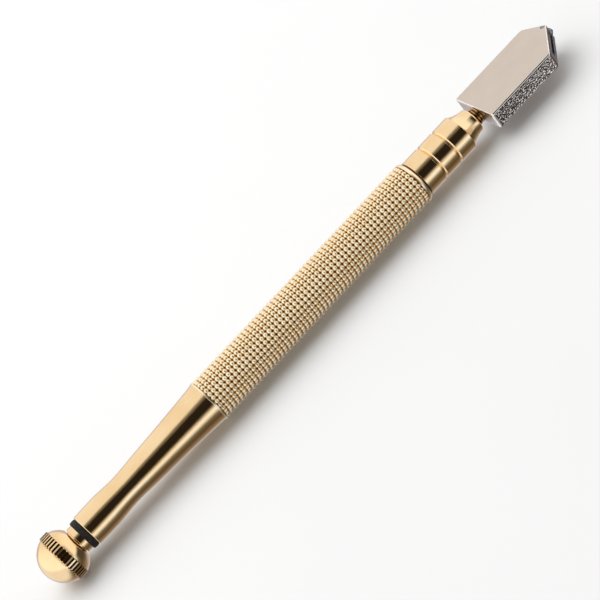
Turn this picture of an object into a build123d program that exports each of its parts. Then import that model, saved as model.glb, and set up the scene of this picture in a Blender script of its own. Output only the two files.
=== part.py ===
from build123d import *
from math import asin, cos, floor, radians, sin, sqrt
import os

# An oil-fed pencil glass cutter lying along X, its cutting wheel at the +X end.
# Y runs across the head's wide faces and Z is the wide faces' normal. The origin is
# halfway along the tool, on the handle's own axis. Sizes are in millimetres.

# Lengths along the tool, from the domed cap to the tip of the wheel.
DOME_LENGTH = 5.05
RIM_WIDTH = 2.5
SHOULDER_LENGTH = 3.25
NECK_LENGTH = 1.5
CAP_GASKET_LENGTH = 1.7
TAIL_LENGTH = 41.1
GRIP_LENGTH = 72.9
NOSE_LENGTH = 20.0
STEM_GAP = 1.95
HEAD_LENGTH = 27.6
WHEEL_OVERHANG = 0.65
LENGTHS = (
    DOME_LENGTH, RIM_WIDTH, SHOULDER_LENGTH, NECK_LENGTH, CAP_GASKET_LENGTH, TAIL_LENGTH,
    GRIP_LENGTH, NOSE_LENGTH, STEM_GAP, HEAD_LENGTH, WHEEL_OVERHANG,
)
TOTAL_LENGTH = sum(LENGTHS)

# Stations along X worked out from those lengths.
DOME_END = -TOTAL_LENGTH / 2
RIM_BACK = DOME_END + DOME_LENGTH
RIM_FRONT = RIM_BACK + RIM_WIDTH
NECK_BACK = RIM_FRONT + SHOULDER_LENGTH
NECK_FRONT = NECK_BACK + NECK_LENGTH
BARREL_BACK = NECK_FRONT + CAP_GASKET_LENGTH
GRIP_BACK = BARREL_BACK + TAIL_LENGTH
SEAM = GRIP_BACK + GRIP_LENGTH
NOSE_TIP = SEAM + NOSE_LENGTH
HEAD_BASE = NOSE_TIP + STEM_GAP
HEAD_APEX = HEAD_BASE + HEAD_LENGTH
WHEEL_TIP = HEAD_APEX + WHEEL_OVERHANG

# Oil cap.
RIM_RADIUS = 6.75
RIDGE_COUNT = 44
RIDGE_DEPTH = 0.37
DOME_RADIUS = 6.38
RIM_BEVEL = 0.15
SHOULDER_MIDDLE = (1.85, 5.3)
SHOULDER_END_RADIUS = 3.95
NECK_RADIUS = 3.65
NECK_BEVEL = 0.15
NECK_GROOVE_WIDTH = 0.3
NECK_GROOVE_RADIUS = 3.2
THREAD_PITCH = 0.75
THREAD_DEPTH = 0.35
PITCH_SLACK = 0.001
PLUG_RADIUS = 2.95
PLUG_LENGTH = 7.5
CAP_GASKET_RADIUS = 4.15

# Barrel, a brass tube that holds the oil.
RESERVOIR_RADIUS = 3.2
MOUTH_RADIUS = 3.0
MOUTH_LENGTH = 7.0
RIM_EDGE_RADIUS = 4.38
MOUTH_EDGE = 0.15
BELLY = (6.5, 4.43)
WAIST = (12.8, 4.06)
SWELL = (20.0, 4.43)
HIP = (31.0, 5.02)
TAIL_START_SLOPE = 0.02
TAIL_END_SLOPE = 0.11
GRIP_EDGE = 0.1
CORE_RADIUS = 4.85
GRIP_RADIUS = 5.85

# Nose ferrule and its spigot, which screws into the barrel.
NOSE_RADIUS = 5.07
TIP_RADIUS = 3.42
BAND_LENGTHS = (5.4, 5.2, 4.9)
GROOVE_WIDTH = 0.9
GROOVE_DEPTH = 0.42
SPIGOT_RADIUS = 4.2
SPIGOT_LENGTH = 6.0
CAVITY_RADIUS = 3.3
GASKET_THICKNESS = 0.3
GASKET_INSET = 0.15
NOSE_EDGE = 0.1
CONE_BEVEL = 0.25
CHEEK_MIDDLE = (1.75, 4.03)
TIP_EDGE = 0.2

# Stem, spring cup and valve inside the nose.
RUNNING_GAP = 0.05
CLOSE_GAP = 0.02
THREAD_CREST = (0.4, 0.6)
STEM_RADIUS = 2.35
STEM_BORE_RADIUS = 0.9
HEAD_THREAD_RADIUS = 1.7
HEAD_THREAD_LENGTH = 6.5
FLANGE_RADIUS = 3.1
FLANGE_LENGTH = 1.9
NOSE_SHOULDER = NOSE_TIP - 7.0
O_RING_INSET = 3.0
PIN_INSET = 6.5
WASHER_GAP = 0.1
WASHER_THICKNESS = 0.5
SWIVEL_ANGLE = 15.0
PIN_RADIUS = 0.5
PIN_INNER = 1.5
PIN_OUTER = 3.75
BALL_RADIUS = 1.5
SEAT_HOLE_RADIUS = 0.8
SEAT_LENGTH = 2.5
ROD_RADIUS = 0.5

# Head block and wheel.
HEAD_WIDTH = 15.8
HEAD_THICKNESS = 4.8
NEAR_SHOULDER = 20.7
FAR_SHOULDER = 23.8
APEX_OFFSET = 1.6
EDGE_BREAK = 0.22
BASE_ROUNDING = 0.35
NEAR_ROUNDING = 0.8
APEX_ROUNDING = 0.3
FAR_ROUNDING = 1.8
WHEEL_RADIUS = 1.6
WHEEL_THICKNESS = 1.1
WHEEL_BORE_RADIUS = 0.45
HUB_BEVEL = 0.22
WHEEL_ASIDE = 0.35
AXLE_RADIUS = 0.4
PASSAGE_OVERLAP = 0.3
WICK_GAP = 0.1
WHEEL_X = WHEEL_TIP - WHEEL_RADIUS
WHEEL_Y = APEX_OFFSET + WHEEL_ASIDE
SLOT_WIDTH = 1.25
SAW_RADIUS = 11.5
SAW_BEYOND = 5.0
SAW_ASIDE = 3.0
SAW_X = HEAD_APEX + SAW_BEYOND
SAW_Y = APEX_OFFSET - SAW_ASIDE

os.makedirs("parts", exist_ok=True)


def turn(*outline, mode=Mode.ADD):
    """Turns a closed outline of (x, radius) points about the tool's long axis."""
    with BuildSketch(Plane.XZ) as section:
        with BuildLine():
            Polyline(*outline, close=True)
        make_face()
    revolve(section.sketch, axis=Axis.X, mode=mode)


def bore(back, front, radius):
    """Cuts a round hole on the long axis between two stations."""
    turn((back, 0), (front, 0), (front, radius), (back, radius), mode=Mode.SUBTRACT)


def ring(back, front, inner, outer):
    """A plain washer or tube on the long axis."""
    turn((back, inner), (front, inner), (front, outer), (back, outer))


def thread_crests(back, front, radius):
    """Outline points of a thread's ridges as rings, walked from back to front."""
    count = floor((front - back) / THREAD_PITCH + PITCH_SLACK)
    points = []
    for index in range(count):
        start = back + index * THREAD_PITCH
        points.append((start, radius - THREAD_DEPTH))
        points.append((start + THREAD_CREST[0] * THREAD_PITCH, radius))
        points.append((start + THREAD_CREST[1] * THREAD_PITCH, radius))
    points.append((back + count * THREAD_PITCH, radius - THREAD_DEPTH))
    return points


def coil_spring(back, front, mean_radius, wire_radius, turns):
    """Sweeps a round wire along a helix on the long axis between two stations."""
    length = front - back - 2 * wire_radius
    with BuildLine() as path:
        Helix(
            pitch=length / turns,
            height=length,
            radius=mean_radius,
            center=(back + wire_radius, 0, 0),
            direction=(1, 0, 0),
        )
    with BuildSketch(Plane(origin=path.line @ 0, z_dir=path.line % 0)) as wire:
        Circle(wire_radius)
    sweep(wire.sketch, path=path.line)


def save(piece, name):
    """Labels a finished piece and writes it as its own STEP file."""
    piece.part.label = name
    export_step(piece.part, f"parts/{name}.step")


# ---------------------------------------------------------------- oil cap

# The cap is one turning: a dome, a ridged rim, a sloping shoulder, a neck and a
# threaded plug that closes the barrel.
DOME_SPHERE = (DOME_LENGTH**2 + DOME_RADIUS**2) / (2 * DOME_LENGTH)
DOME_HALF_ANGLE = asin(DOME_RADIUS / DOME_SPHERE)
DOME_MIDDLE = (
    DOME_END + DOME_SPHERE * (1 - cos(DOME_HALF_ANGLE / 2)),
    DOME_SPHERE * sin(DOME_HALF_ANGLE / 2),
)
NECK_GROOVE_BACK = NECK_BACK - NECK_GROOVE_WIDTH
with BuildPart() as oil_cap:
    with BuildSketch(Plane.XZ):
        with BuildLine():
            ThreePointArc((DOME_END, 0), DOME_MIDDLE, (RIM_BACK, DOME_RADIUS))
            Polyline(
                (RIM_BACK, DOME_RADIUS),
                (RIM_BACK + RIM_BEVEL, RIM_RADIUS),
                (RIM_FRONT - RIM_BEVEL, RIM_RADIUS),
                (RIM_FRONT, DOME_RADIUS),
            )
            ThreePointArc(
                (RIM_FRONT, DOME_RADIUS),
                (RIM_FRONT + SHOULDER_MIDDLE[0], SHOULDER_MIDDLE[1]),
                (NECK_GROOVE_BACK, SHOULDER_END_RADIUS),
            )
            Polyline(
                (NECK_GROOVE_BACK, SHOULDER_END_RADIUS),
                (NECK_GROOVE_BACK, NECK_GROOVE_RADIUS),
                (NECK_BACK, NECK_GROOVE_RADIUS),
                (NECK_BACK, NECK_RADIUS - NECK_BEVEL),
                (NECK_BACK + NECK_BEVEL, NECK_RADIUS),
                (NECK_FRONT, NECK_RADIUS),
                (NECK_FRONT, PLUG_RADIUS - THREAD_DEPTH),
                *thread_crests(BARREL_BACK, NECK_FRONT + PLUG_LENGTH, PLUG_RADIUS),
                (NECK_FRONT + PLUG_LENGTH, PLUG_RADIUS - THREAD_DEPTH),
                (NECK_FRONT + PLUG_LENGTH, 0),
                (DOME_END, 0),
            )
        make_face()
    revolve(axis=Axis.X)
    with BuildSketch(Plane.YZ.offset(RIM_BACK)):
        with PolarLocations(RIM_RADIUS, RIDGE_COUNT):
            RegularPolygon(RIDGE_DEPTH, 4)
    extrude(amount=RIM_WIDTH, mode=Mode.SUBTRACT)
save(oil_cap, "oil_cap")

with BuildPart() as cap_gasket:
    ring(NECK_FRONT, BARREL_BACK, PLUG_RADIUS - THREAD_DEPTH + RUNNING_GAP, CAP_GASKET_RADIUS)
save(cap_gasket, "cap_gasket")

# ---------------------------------------------------------------- handle

# The barrel's tail has an hourglass outline; its core runs on under the grip.
BARREL_FRONT = SEAM - GASKET_THICKNESS
with BuildPart() as barrel:
    with BuildSketch(Plane.XZ):
        with BuildLine():
            Polyline(
                (BARREL_BACK, 0),
                (BARREL_BACK, RIM_EDGE_RADIUS - MOUTH_EDGE),
                (BARREL_BACK + MOUTH_EDGE, RIM_EDGE_RADIUS),
            )
            Spline(
                (BARREL_BACK + MOUTH_EDGE, RIM_EDGE_RADIUS),
                (BARREL_BACK + BELLY[0], BELLY[1]),
                (BARREL_BACK + WAIST[0], WAIST[1]),
                (BARREL_BACK + SWELL[0], SWELL[1]),
                (BARREL_BACK + HIP[0], HIP[1]),
                (GRIP_BACK, GRIP_RADIUS - GRIP_EDGE),
                tangents=((1, TAIL_START_SLOPE), (1, TAIL_END_SLOPE)),
            )
            Polyline(
                (GRIP_BACK, GRIP_RADIUS - GRIP_EDGE),
                (GRIP_BACK, CORE_RADIUS),
                (BARREL_FRONT, CORE_RADIUS),
                (BARREL_FRONT, 0),
                (BARREL_BACK, 0),
            )
        make_face()
    revolve(axis=Axis.X)
    bore(BARREL_BACK, BARREL_BACK + MOUTH_LENGTH, MOUTH_RADIUS)
    bore(BARREL_BACK + MOUTH_LENGTH, BARREL_FRONT, RESERVOIR_RADIUS)
    bore(SEAM - SPIGOT_LENGTH, BARREL_FRONT, SPIGOT_RADIUS)
save(barrel, "barrel")

# The knurled sleeve is pressed on the core, between a plain ring at the back and a
# rounded collar at the front.
BACK_RING = 0.5
COLLAR_LENGTH = 1.2
COLLAR_RADIUS = 5.2
COLLAR_MIDDLE = (0.35, 5.55)
COLLAR_STEP = 0.05
CREST_START = 0.35
CREST_END = 0.65
RING_COUNT = 56
RING_DEPTH = 0.35
with BuildPart() as grip_sleeve:
    beads_back = GRIP_BACK + BACK_RING
    beads_front = BARREL_FRONT - COLLAR_LENGTH
    pitch = (beads_front - beads_back) / RING_COUNT
    crests = []
    for index in range(RING_COUNT):
        start = beads_back + index * pitch
        crests.append((start, GRIP_RADIUS - RING_DEPTH))
        crests.append((start + CREST_START * pitch, GRIP_RADIUS))
        crests.append((start + CREST_END * pitch, GRIP_RADIUS))
    with BuildSketch(Plane.XZ):
        with BuildLine():
            Polyline(
                (GRIP_BACK, CORE_RADIUS),
                (GRIP_BACK, GRIP_RADIUS - GRIP_EDGE),
                (GRIP_BACK + GRIP_EDGE, GRIP_RADIUS),
                (beads_back, GRIP_RADIUS),
                *crests,
                (beads_front, GRIP_RADIUS - RING_DEPTH),
                (beads_front, GRIP_RADIUS - COLLAR_STEP),
            )
            ThreePointArc(
                (beads_front, GRIP_RADIUS - COLLAR_STEP),
                (BARREL_FRONT - COLLAR_MIDDLE[0], COLLAR_MIDDLE[1]),
                (BARREL_FRONT, COLLAR_RADIUS),
            )
            Polyline(
                (BARREL_FRONT, COLLAR_RADIUS),
                (BARREL_FRONT, CORE_RADIUS),
                (GRIP_BACK, CORE_RADIUS),
            )
        make_face()
    revolve(axis=Axis.X)
save(grip_sleeve, "grip_sleeve")

with BuildPart() as nose_gasket:
    ring(BARREL_FRONT, SEAM, SPIGOT_RADIUS, NOSE_RADIUS - GASKET_INSET)
save(nose_gasket, "nose_gasket")

# The nose has two V grooves, a hollow-cheeked cone, a bore for the stem with a groove
# for its O-ring, a cavity for the spring cup and a keyway for the cup's pin.
CONE_START = SEAM + sum(BAND_LENGTHS)
O_RING_X = NOSE_TIP - O_RING_INSET
O_RING_WIRE = 0.3
O_RING_GROOVE = STEM_RADIUS + CLOSE_GAP + 2 * O_RING_WIRE
PIN_X = NOSE_SHOULDER - PIN_INSET
KEYWAY_END_GAP = 0.1
KEYWAY_FRONT = PIN_X + PIN_RADIUS + KEYWAY_END_GAP
KEYWAY_SIDE_GAP = 0.03
KEYWAY_TOP_GAP = 0.14
O_RING_SLACK = 1.1
with BuildPart() as nose_ferrule:
    grooves = []
    for centre in (SEAM + BAND_LENGTHS[0], SEAM + BAND_LENGTHS[0] + BAND_LENGTHS[1]):
        grooves.append((centre - GROOVE_WIDTH / 2, NOSE_RADIUS))
        grooves.append((centre, NOSE_RADIUS - GROOVE_DEPTH))
        grooves.append((centre + GROOVE_WIDTH / 2, NOSE_RADIUS))
    with BuildSketch(Plane.XZ):
        with BuildLine():
            Polyline(
                (SEAM - SPIGOT_LENGTH, 0),
                (SEAM - SPIGOT_LENGTH, SPIGOT_RADIUS),
                (SEAM, SPIGOT_RADIUS),
                (SEAM, NOSE_RADIUS - NOSE_EDGE),
                (SEAM + NOSE_EDGE, NOSE_RADIUS),
                *grooves,
                (CONE_START, NOSE_RADIUS),
                (CONE_START + CONE_BEVEL, NOSE_RADIUS - CONE_BEVEL),
            )
            ThreePointArc(
                (CONE_START + CONE_BEVEL, NOSE_RADIUS - CONE_BEVEL),
                (CONE_START + CHEEK_MIDDLE[0], CHEEK_MIDDLE[1]),
                (NOSE_TIP - TIP_EDGE, TIP_RADIUS),
            )
            Polyline(
                (NOSE_TIP - TIP_EDGE, TIP_RADIUS),
                (NOSE_TIP, TIP_RADIUS - TIP_EDGE),
                (NOSE_TIP, 0),
                (SEAM - SPIGOT_LENGTH, 0),
            )
        make_face()
    revolve(axis=Axis.X)
    bore(SEAM - SPIGOT_LENGTH, NOSE_SHOULDER, CAVITY_RADIUS)
    bore(NOSE_SHOULDER, NOSE_TIP, STEM_RADIUS + RUNNING_GAP)
    bore(O_RING_X - O_RING_SLACK * O_RING_WIRE, O_RING_X + O_RING_SLACK * O_RING_WIRE, O_RING_GROOVE)
    with BuildSketch(Plane.YZ.offset(SEAM - SPIGOT_LENGTH)):
        with Locations((0, PIN_OUTER / 2)):
            Rectangle(2 * (PIN_RADIUS + KEYWAY_SIDE_GAP), PIN_OUTER + KEYWAY_TOP_GAP)
    extrude(amount=KEYWAY_FRONT - SEAM + SPIGOT_LENGTH, mode=Mode.SUBTRACT)
save(nose_ferrule, "nose_ferrule")

with BuildPart() as stem_o_ring:
    with BuildSketch(Plane.XZ):
        with Locations((O_RING_X, O_RING_GROOVE - O_RING_WIRE)):
            Circle(O_RING_WIRE)
    revolve(axis=Axis.X)
save(stem_o_ring, "stem_o_ring")

with BuildPart() as thrust_washer:
    ring(
        NOSE_SHOULDER - WASHER_THICKNESS,
        NOSE_SHOULDER,
        STEM_RADIUS + WASHER_GAP,
        FLANGE_RADIUS + WASHER_GAP,
    )
save(thrust_washer, "thrust_washer")

# ---------------------------------------------------------------- valve

# The seat is pressed in the barrel's bore; the ball closes its 45 degree cone from
# the oil side, and a light spring held by the cage keeps it there.
SEAT_SETBACK = 2.5
SEAT_FRONT = SEAM - SPIGOT_LENGTH - SEAT_SETBACK
SEAT_BACK = SEAT_FRONT - SEAT_LENGTH
CONE_MOUTH_RADIUS = 1.7
CONE_DEPTH = CONE_MOUTH_RADIUS - SEAT_HOLE_RADIUS
with BuildPart() as valve_seat:
    turn(
        (SEAT_BACK, CONE_MOUTH_RADIUS),
        (SEAT_BACK + CONE_DEPTH, SEAT_HOLE_RADIUS),
        (SEAT_FRONT, SEAT_HOLE_RADIUS),
        (SEAT_FRONT, RESERVOIR_RADIUS),
        (SEAT_BACK, RESERVOIR_RADIUS),
    )
save(valve_seat, "valve_seat")

BALL_CLEARANCE = 0.04
BALL_X = SEAT_BACK + CONE_MOUTH_RADIUS - BALL_RADIUS * sqrt(2) - BALL_CLEARANCE
with BuildPart() as valve_ball:
    with BuildSketch(Plane.XZ):
        with BuildLine():
            ThreePointArc((BALL_X - BALL_RADIUS, 0), (BALL_X, BALL_RADIUS), (BALL_X + BALL_RADIUS, 0))
            Line((BALL_X + BALL_RADIUS, 0), (BALL_X - BALL_RADIUS, 0))
        make_face()
    revolve(axis=Axis.X)
save(valve_ball, "valve_ball")

BALL_SPRING_RADIUS = 1.1
BALL_SPRING_WIRE = 0.15
WIRE_TO_BALL = sqrt((BALL_RADIUS + BALL_SPRING_WIRE) ** 2 - BALL_SPRING_RADIUS**2)
BALL_SPRING_FRONT = BALL_X - WIRE_TO_BALL + BALL_SPRING_WIRE - CLOSE_GAP
BALL_SPRING_LENGTH = 4.4
BALL_SPRING_TURNS = 5
CAGE_FRONT = BALL_SPRING_FRONT - BALL_SPRING_LENGTH
CAGE_LENGTH = 1.5
CAGE_BORE_RADIUS = 0.6
HOLE_COUNT = 4
CAGE_HOLE_CIRCLE = 2.2
CAGE_HOLE_RADIUS = 0.55
with BuildPart() as ball_spring:
    coil_spring(CAGE_FRONT, BALL_SPRING_FRONT, BALL_SPRING_RADIUS, BALL_SPRING_WIRE, BALL_SPRING_TURNS)
save(ball_spring, "ball_spring")

with BuildPart() as ball_cage:
    ring(CAGE_FRONT - CAGE_LENGTH, CAGE_FRONT, CAGE_BORE_RADIUS, RESERVOIR_RADIUS)
    with BuildSketch(Plane.YZ.offset(CAGE_FRONT - CAGE_LENGTH)):
        with PolarLocations(CAGE_HOLE_CIRCLE, HOLE_COUNT):
            Circle(CAGE_HOLE_RADIUS)
    extrude(amount=CAGE_LENGTH, mode=Mode.SUBTRACT)
save(ball_cage, "ball_cage")

# ---------------------------------------------------------------- sliding parts

# The cup slides in the nose without turning; the return spring pushes it forward
# against the stem's flange.
FLANGE_FRONT = NOSE_SHOULDER - WASHER_THICKNESS - CLOSE_GAP
FLANGE_BACK = FLANGE_FRONT - FLANGE_LENGTH
CUP_FRONT = FLANGE_BACK - CLOSE_GAP
STEM_REACH = 4.0
STEM_BACK = PIN_X - STEM_REACH
CUP_FLOOR_GAP = 0.5
CUP_FLOOR = STEM_BACK - CUP_FLOOR_GAP
CUP_FLOOR_THICKNESS = 1.5
CUP_BACK = CUP_FLOOR - CUP_FLOOR_THICKNESS
CUP_OUTER_GAP = 0.08
CUP_INNER_GAP = 0.07
CUP_HOLE_CIRCLE = 1.4
CUP_HOLE_RADIUS = 0.45
with BuildPart() as spring_cup:
    ring(CUP_BACK, CUP_FRONT, 0, CAVITY_RADIUS - CUP_OUTER_GAP)
    bore(CUP_FLOOR, CUP_FRONT, STEM_RADIUS + CUP_INNER_GAP)
    bore(CUP_BACK, CUP_FLOOR, ROD_RADIUS)
    with BuildSketch(Plane.YZ.offset(CUP_BACK)):
        with PolarLocations(CUP_HOLE_CIRCLE, HOLE_COUNT):
            Circle(CUP_HOLE_RADIUS)
    extrude(amount=CUP_FLOOR - CUP_BACK, mode=Mode.SUBTRACT)
    with BuildSketch(Plane.XY):
        with Locations((PIN_X, 0)):
            Circle(PIN_RADIUS)
    extrude(amount=CAVITY_RADIUS, mode=Mode.SUBTRACT)
save(spring_cup, "spring_cup")

with BuildPart() as limit_pin:
    with BuildSketch(Plane.XY.offset(PIN_INNER)):
        with Locations((PIN_X, 0)):
            Circle(PIN_RADIUS)
    extrude(amount=PIN_OUTER - PIN_INNER)
save(limit_pin, "limit_pin")

ROD_TIP = BALL_X + BALL_RADIUS + 0.06
ROD_BEVEL = 0.2
with BuildPart() as push_rod:
    turn(
        (ROD_TIP, 0),
        (CUP_FLOOR, 0),
        (CUP_FLOOR, ROD_RADIUS),
        (ROD_TIP + ROD_BEVEL, ROD_RADIUS),
        (ROD_TIP, ROD_RADIUS - ROD_BEVEL),
    )
save(push_rod, "push_rod")

RETURN_SPRING_RADIUS = 2.5
RETURN_SPRING_WIRE = 0.3
RETURN_SPRING_TURNS = 5
with BuildPart() as return_spring:
    coil_spring(
        SEAT_FRONT + CLOSE_GAP,
        CUP_BACK - CLOSE_GAP,
        RETURN_SPRING_RADIUS,
        RETURN_SPRING_WIRE,
        RETURN_SPRING_TURNS,
    )
save(return_spring, "return_spring")

# ---------------------------------------------------------------- head

# The stem turns in the cup: its slot is a sector wide enough for the swivel either
# way round the limit pin.
SLOT_HALF_ANGLE = radians(SWIVEL_ANGLE) + asin((PIN_RADIUS + RUNNING_GAP) / PIN_INNER)
SLOT_REACH = 2 * STEM_RADIUS
SLOT_SIDE = (SLOT_REACH * sin(SLOT_HALF_ANGLE), SLOT_REACH * cos(SLOT_HALF_ANGLE))
STEM_BEVEL = 0.2
RIDGES_INSET = 0.3
SLOT_FLOOR_GAP = 0.1
with BuildPart() as head_stem:
    turn(
        (STEM_BACK, 0),
        (STEM_BACK, STEM_RADIUS - STEM_BEVEL),
        (STEM_BACK + STEM_BEVEL, STEM_RADIUS),
        (FLANGE_BACK, STEM_RADIUS),
        (FLANGE_BACK, FLANGE_RADIUS),
        (FLANGE_FRONT, FLANGE_RADIUS),
        (FLANGE_FRONT, STEM_RADIUS),
        (NOSE_TIP - RIDGES_INSET, STEM_RADIUS),
        *thread_crests(NOSE_TIP - RIDGES_INSET, HEAD_BASE, STEM_RADIUS),
        (HEAD_BASE, HEAD_THREAD_RADIUS),
        (HEAD_BASE + HEAD_THREAD_LENGTH, HEAD_THREAD_RADIUS),
        (HEAD_BASE + HEAD_THREAD_LENGTH, 0),
    )
    bore(STEM_BACK, HEAD_BASE + HEAD_THREAD_LENGTH, STEM_BORE_RADIUS)
    with BuildSketch(Plane.YZ.offset(PIN_X - PIN_RADIUS - RUNNING_GAP)):
        with BuildLine():
            Polyline((0, 0), SLOT_SIDE, (-SLOT_SIDE[0], SLOT_SIDE[1]), close=True)
        make_face()
        Circle(PIN_INNER - SLOT_FLOOR_GAP, mode=Mode.SUBTRACT)
    extrude(amount=2 * (PIN_RADIUS + RUNNING_GAP), mode=Mode.SUBTRACT)
save(head_stem, "head_stem")

# The head is a flat block with an off-centre gable. A saw slot along the gable holds
# the wheel, and a passage along the axis brings it oil.
CORNERS = (
    ((HEAD_BASE, -HEAD_WIDTH / 2), BASE_ROUNDING),
    ((HEAD_BASE + NEAR_SHOULDER, -HEAD_WIDTH / 2), NEAR_ROUNDING),
    ((HEAD_APEX, APEX_OFFSET), APEX_ROUNDING),
    ((HEAD_BASE + FAR_SHOULDER, HEAD_WIDTH / 2), FAR_ROUNDING),
    ((HEAD_BASE, HEAD_WIDTH / 2), BASE_ROUNDING),
)
with BuildPart() as head_block:
    with BuildSketch(Plane.XY.offset(-HEAD_THICKNESS / 2)):
        with BuildLine():
            Polyline(*[corner for corner, radius in CORNERS], close=True)
        make_face()
    extrude(amount=HEAD_THICKNESS)
    for corner, radius in CORNERS:
        uprights = head_block.edges().filter_by(Axis.Z)
        fillet(uprights.sort_by_distance((*corner, 0))[0], radius)
    chamfer(head_block.faces().filter_by(Plane.XY).edges(), EDGE_BREAK)
    bore(HEAD_BASE, HEAD_BASE + HEAD_THREAD_LENGTH, HEAD_THREAD_RADIUS)
    bore(HEAD_BASE + HEAD_THREAD_LENGTH, SAW_X - SAW_RADIUS + PASSAGE_OVERLAP, STEM_BORE_RADIUS)
    with BuildSketch(Plane.XY.offset(-SLOT_WIDTH / 2)):
        with Locations((SAW_X, SAW_Y)):
            Circle(SAW_RADIUS)
    extrude(amount=SLOT_WIDTH, mode=Mode.SUBTRACT)
    with BuildSketch(Plane.XY.offset(-HEAD_THICKNESS / 2)):
        with Locations((WHEEL_X, WHEEL_Y)):
            Circle(AXLE_RADIUS)
    extrude(amount=HEAD_THICKNESS, mode=Mode.SUBTRACT)
save(head_block, "head_block")

with BuildPart() as wick:
    ring(STEM_BACK + WICK_GAP, SAW_X - SAW_RADIUS - WICK_GAP, 0, STEM_BORE_RADIUS)
save(wick, "wick")

with BuildPart() as wheel_axle:
    with BuildSketch(Plane.XY.offset(-HEAD_THICKNESS / 2)):
        with Locations((WHEEL_X, WHEEL_Y)):
            Circle(AXLE_RADIUS)
    extrude(amount=HEAD_THICKNESS)
save(wheel_axle, "wheel_axle")

# The wheel's rim is ground to a blunt V.
HUB_RADIUS = WHEEL_RADIUS - HUB_BEVEL
with BuildPart() as cutting_wheel:
    with BuildSketch(Plane.XZ.offset(-WHEEL_Y)):
        with BuildLine():
            Polyline(
                (WHEEL_X + WHEEL_BORE_RADIUS, -WHEEL_THICKNESS / 2),
                (WHEEL_X + HUB_RADIUS, -WHEEL_THICKNESS / 2),
                (WHEEL_X + WHEEL_RADIUS, 0),
                (WHEEL_X + HUB_RADIUS, WHEEL_THICKNESS / 2),
                (WHEEL_X + WHEEL_BORE_RADIUS, WHEEL_THICKNESS / 2),
                close=True,
            )
        make_face()
    revolve(axis=Axis((WHEEL_X, WHEEL_Y, 0), (0, 0, 1)))
save(cutting_wheel, "cutting_wheel")
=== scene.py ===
import math

import bmesh
import bpy
from mathutils import Matrix, Vector, noise


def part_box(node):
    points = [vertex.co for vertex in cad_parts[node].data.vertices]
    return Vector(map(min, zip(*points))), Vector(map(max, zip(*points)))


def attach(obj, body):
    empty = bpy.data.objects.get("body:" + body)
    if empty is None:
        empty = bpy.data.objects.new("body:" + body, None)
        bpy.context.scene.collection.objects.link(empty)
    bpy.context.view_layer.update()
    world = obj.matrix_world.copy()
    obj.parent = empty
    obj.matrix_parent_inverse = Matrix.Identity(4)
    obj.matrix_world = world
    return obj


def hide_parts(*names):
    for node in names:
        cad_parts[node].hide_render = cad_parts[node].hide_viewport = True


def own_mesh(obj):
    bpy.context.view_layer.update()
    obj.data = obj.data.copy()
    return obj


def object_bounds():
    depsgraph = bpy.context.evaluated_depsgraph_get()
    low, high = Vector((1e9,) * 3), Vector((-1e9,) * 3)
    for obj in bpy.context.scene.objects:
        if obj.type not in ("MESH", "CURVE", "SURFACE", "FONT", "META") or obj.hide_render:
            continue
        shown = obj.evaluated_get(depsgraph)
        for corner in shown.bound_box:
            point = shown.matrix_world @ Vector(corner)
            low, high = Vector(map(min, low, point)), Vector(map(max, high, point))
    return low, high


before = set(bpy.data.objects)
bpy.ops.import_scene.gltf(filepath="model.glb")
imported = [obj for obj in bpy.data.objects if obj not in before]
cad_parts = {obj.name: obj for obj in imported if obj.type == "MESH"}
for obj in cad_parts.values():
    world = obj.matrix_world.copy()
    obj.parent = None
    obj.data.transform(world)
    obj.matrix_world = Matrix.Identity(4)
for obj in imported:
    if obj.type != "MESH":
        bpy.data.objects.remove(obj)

# The glass cutter lies along X with its wheel at the +X end. The camera, lights and floor
# come first, then the materials, then the pieces that stand for plainer CAD nodes, and
# last the finish of every node that stays. Lengths are metres; MM turns millimetres into
# them.
MM = 0.001
CAD_LOW, CAD_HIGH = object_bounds()
MICRON = 0.000001
TURN = 2 * math.pi
# Edges that bend more than this stay sharp, and faces of more square millimetres are flat.
CREASE = math.radians(40)
FLAT_AREA = 2.0


# ---------------------------------------------------------------- small helpers


def box_of(node):
    """A node's lowest and highest corner in millimetres."""
    low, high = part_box(node)
    return low / MM, high / MM


def smoothstep(value, start, end):
    """0 before start, 1 after end, and a smooth rise between them."""
    share = min(max((value - start) / (end - start), 0.0), 1.0)
    return share * share * (3 - 2 * share)


# ---------------------------------------------------------------- camera

# The camera is placed by the angles it looks at the tool's middle from, its distance, and
# how far it is rolled and moved across its own view.
CAMERA_AZIMUTH = math.radians(-9.368)
CAMERA_ELEVATION = math.radians(34.405)
CAMERA_ROLL = math.radians(-41.508)
CAMERA_DISTANCE = 538.664 * MM
CAMERA_RIGHT = -1.516 * MM
CAMERA_UP = -0.695 * MM
CAMERA_LENS = 136.7
CAMERA_SENSOR = 36.0


def place_camera():
    """Makes the camera at the photograph's viewing angle."""
    back = Vector((
        math.sin(CAMERA_AZIMUTH) * math.cos(CAMERA_ELEVATION),
        -math.cos(CAMERA_AZIMUTH) * math.cos(CAMERA_ELEVATION),
        math.sin(CAMERA_ELEVATION),
    ))
    level = Vector((0, 0, 1)).cross(back).normalized()
    upright = back.cross(level)
    right = math.cos(CAMERA_ROLL) * level + math.sin(CAMERA_ROLL) * upright
    up = back.cross(right)
    camera = bpy.data.objects.new("camera", bpy.data.cameras.new("camera"))
    bpy.context.scene.collection.objects.link(camera)
    turned = Matrix((right, up, back)).transposed().to_4x4()
    place = CAMERA_RIGHT * right + CAMERA_UP * up + CAMERA_DISTANCE * back
    camera.matrix_world = Matrix.Translation(place) @ turned
    camera.data.lens = CAMERA_LENS
    camera.data.sensor_width = CAMERA_SENSOR
    camera.data.clip_start = 0.01
    camera.data.clip_end = 50.0
    bpy.context.scene.camera = camera


place_camera()


# ---------------------------------------------------------------- node materials


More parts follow.
